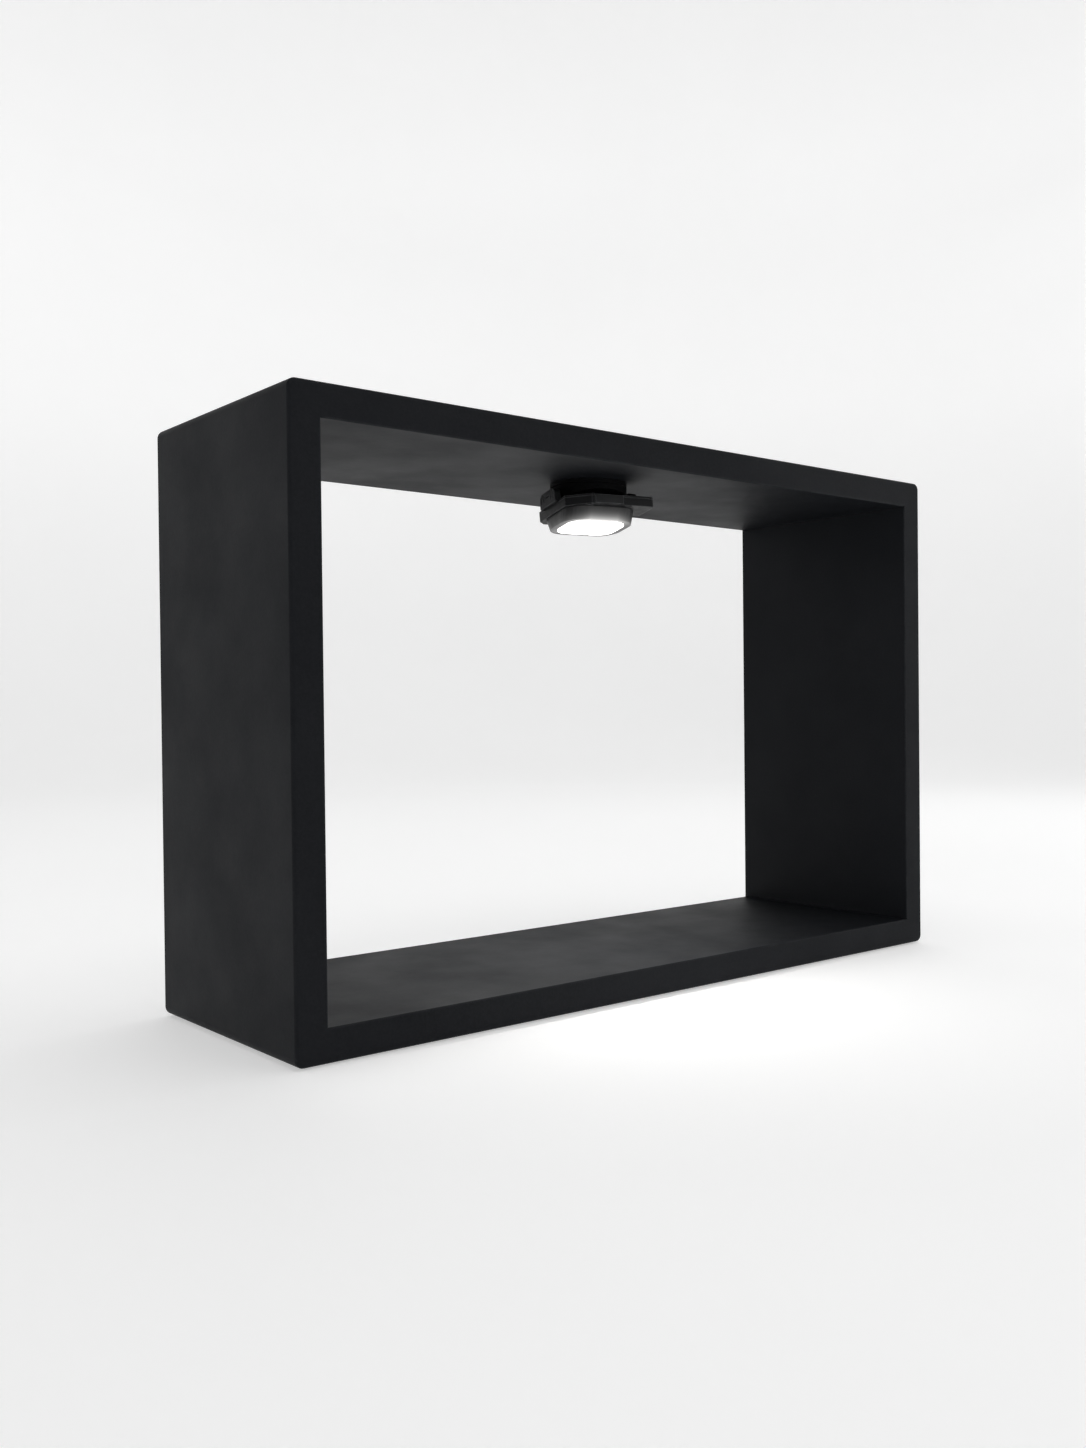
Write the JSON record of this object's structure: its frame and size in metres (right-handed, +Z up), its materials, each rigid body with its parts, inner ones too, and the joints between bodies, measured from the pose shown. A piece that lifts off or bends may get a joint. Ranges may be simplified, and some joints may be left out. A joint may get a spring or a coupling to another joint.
{
  "type": "lit display frame",
  "caption": "Open rectangular frame on rubber feet for showing a scale model, with a small swivelling and tilting battery lamp under its top board.",
  "frame": {"origin": "on the surface the feet stand on, under the middle of the frame", "axes": "+X along the frame from left to right, +Y from the front to the back, +Z up"},
  "size_m": [0.43, 0.13, 0.2808],
  "materials": {
    "painted_board": "matte black paint on fibreboard",
    "dowel_beech": "raw, fluted and glued",
    "foot_rubber": "matte",
    "lamp_casing": "fine moulded texture",
    "lamp_bezel": "satin",
    "button_plastic": "satin",
    "screw_steel": "zinc plated",
    "black_screw": "blackened steel",
    "insert_brass": "plain",
    "washer_steel": "spring temper",
    "glide_nylon": "smooth",
    "tilt_rubber": "matte",
    "gasket_foam": "closed-cell foam",
    "lens_opal": "opal, lit",
    "tray_white": "satin",
    "circuit_board": "white solder mask",
    "led_phosphor": "lit",
    "chip_black": "satin",
    "cell_foil": "pouch foil",
    "lead_red": "insulated wire",
    "socket_shell": "plated",
    "switch_case": "plated"
  },
  "bodies": {
    "frame": {"top_board": "painted_board", "bottom_board": "painted_board", "left_board": "painted_board", "right_board": "painted_board", "top_left_dowels": "dowel_beech", "top_right_dowels": "dowel_beech", "bottom_left_dowels": "dowel_beech", "bottom_right_dowels": "dowel_beech", "front_left_foot": "foot_rubber", "front_right_foot": "foot_rubber", "rear_left_foot": "foot_rubber", "rear_right_foot": "foot_rubber", "mount_plate": "lamp_casing", "mount_screws": "screw_steel", "pivot_insert": "insert_brass", "pivot_bolt": "screw_steel", "wave_washer": "washer_steel", "glide_washer": "glide_nylon"},
    "swivel": {"swivel_base": "lamp_casing", "left_tilt_pin": "screw_steel", "right_tilt_pin": "screw_steel", "left_tilt_washer": "tilt_rubber", "right_tilt_washer": "tilt_rubber"},
    "lamp_head": {"back_shell": "lamp_casing", "head_frame": "lamp_casing", "lens_bezel": "lamp_bezel", "lens_gasket": "gasket_foam", "diffuser": "lens_opal", "reflector_tray": "tray_white", "led_board": "circuit_board", "led_chips": "led_phosphor", "driver_chips": "chip_black", "battery": "cell_foil", "battery_leads": "lead_red", "usb_socket": "socket_shell", "tact_switch": "switch_case", "head_screws": "black_screw"},
    "button": {"power_button": "button_plastic", "switch_plunger": "chip_black"}
  },
  "joints": [
    {"name": "lamp_pan", "type": "hinge", "parent": "frame", "child": "swivel", "pos_m": [-0.006, -0.01, 0.2658], "axis": [0, 0, 1], "continuous": true},
    {"name": "head_tilt", "type": "hinge", "parent": "swivel", "child": "lamp_head", "pos_m": [-0.006, -0.01, 0.258], "axis": [0.9703, -0.2419, 0], "range_deg": [-10, 26]},
    {"name": "power_button_press", "type": "slide", "parent": "lamp_head", "child": "button", "axis": [0.2396, 0.9609, -0.1392], "range_m": [0, 0.0008], "stiffness_N_per_m": 1500, "springref_m": -0.0003}
  ]
}
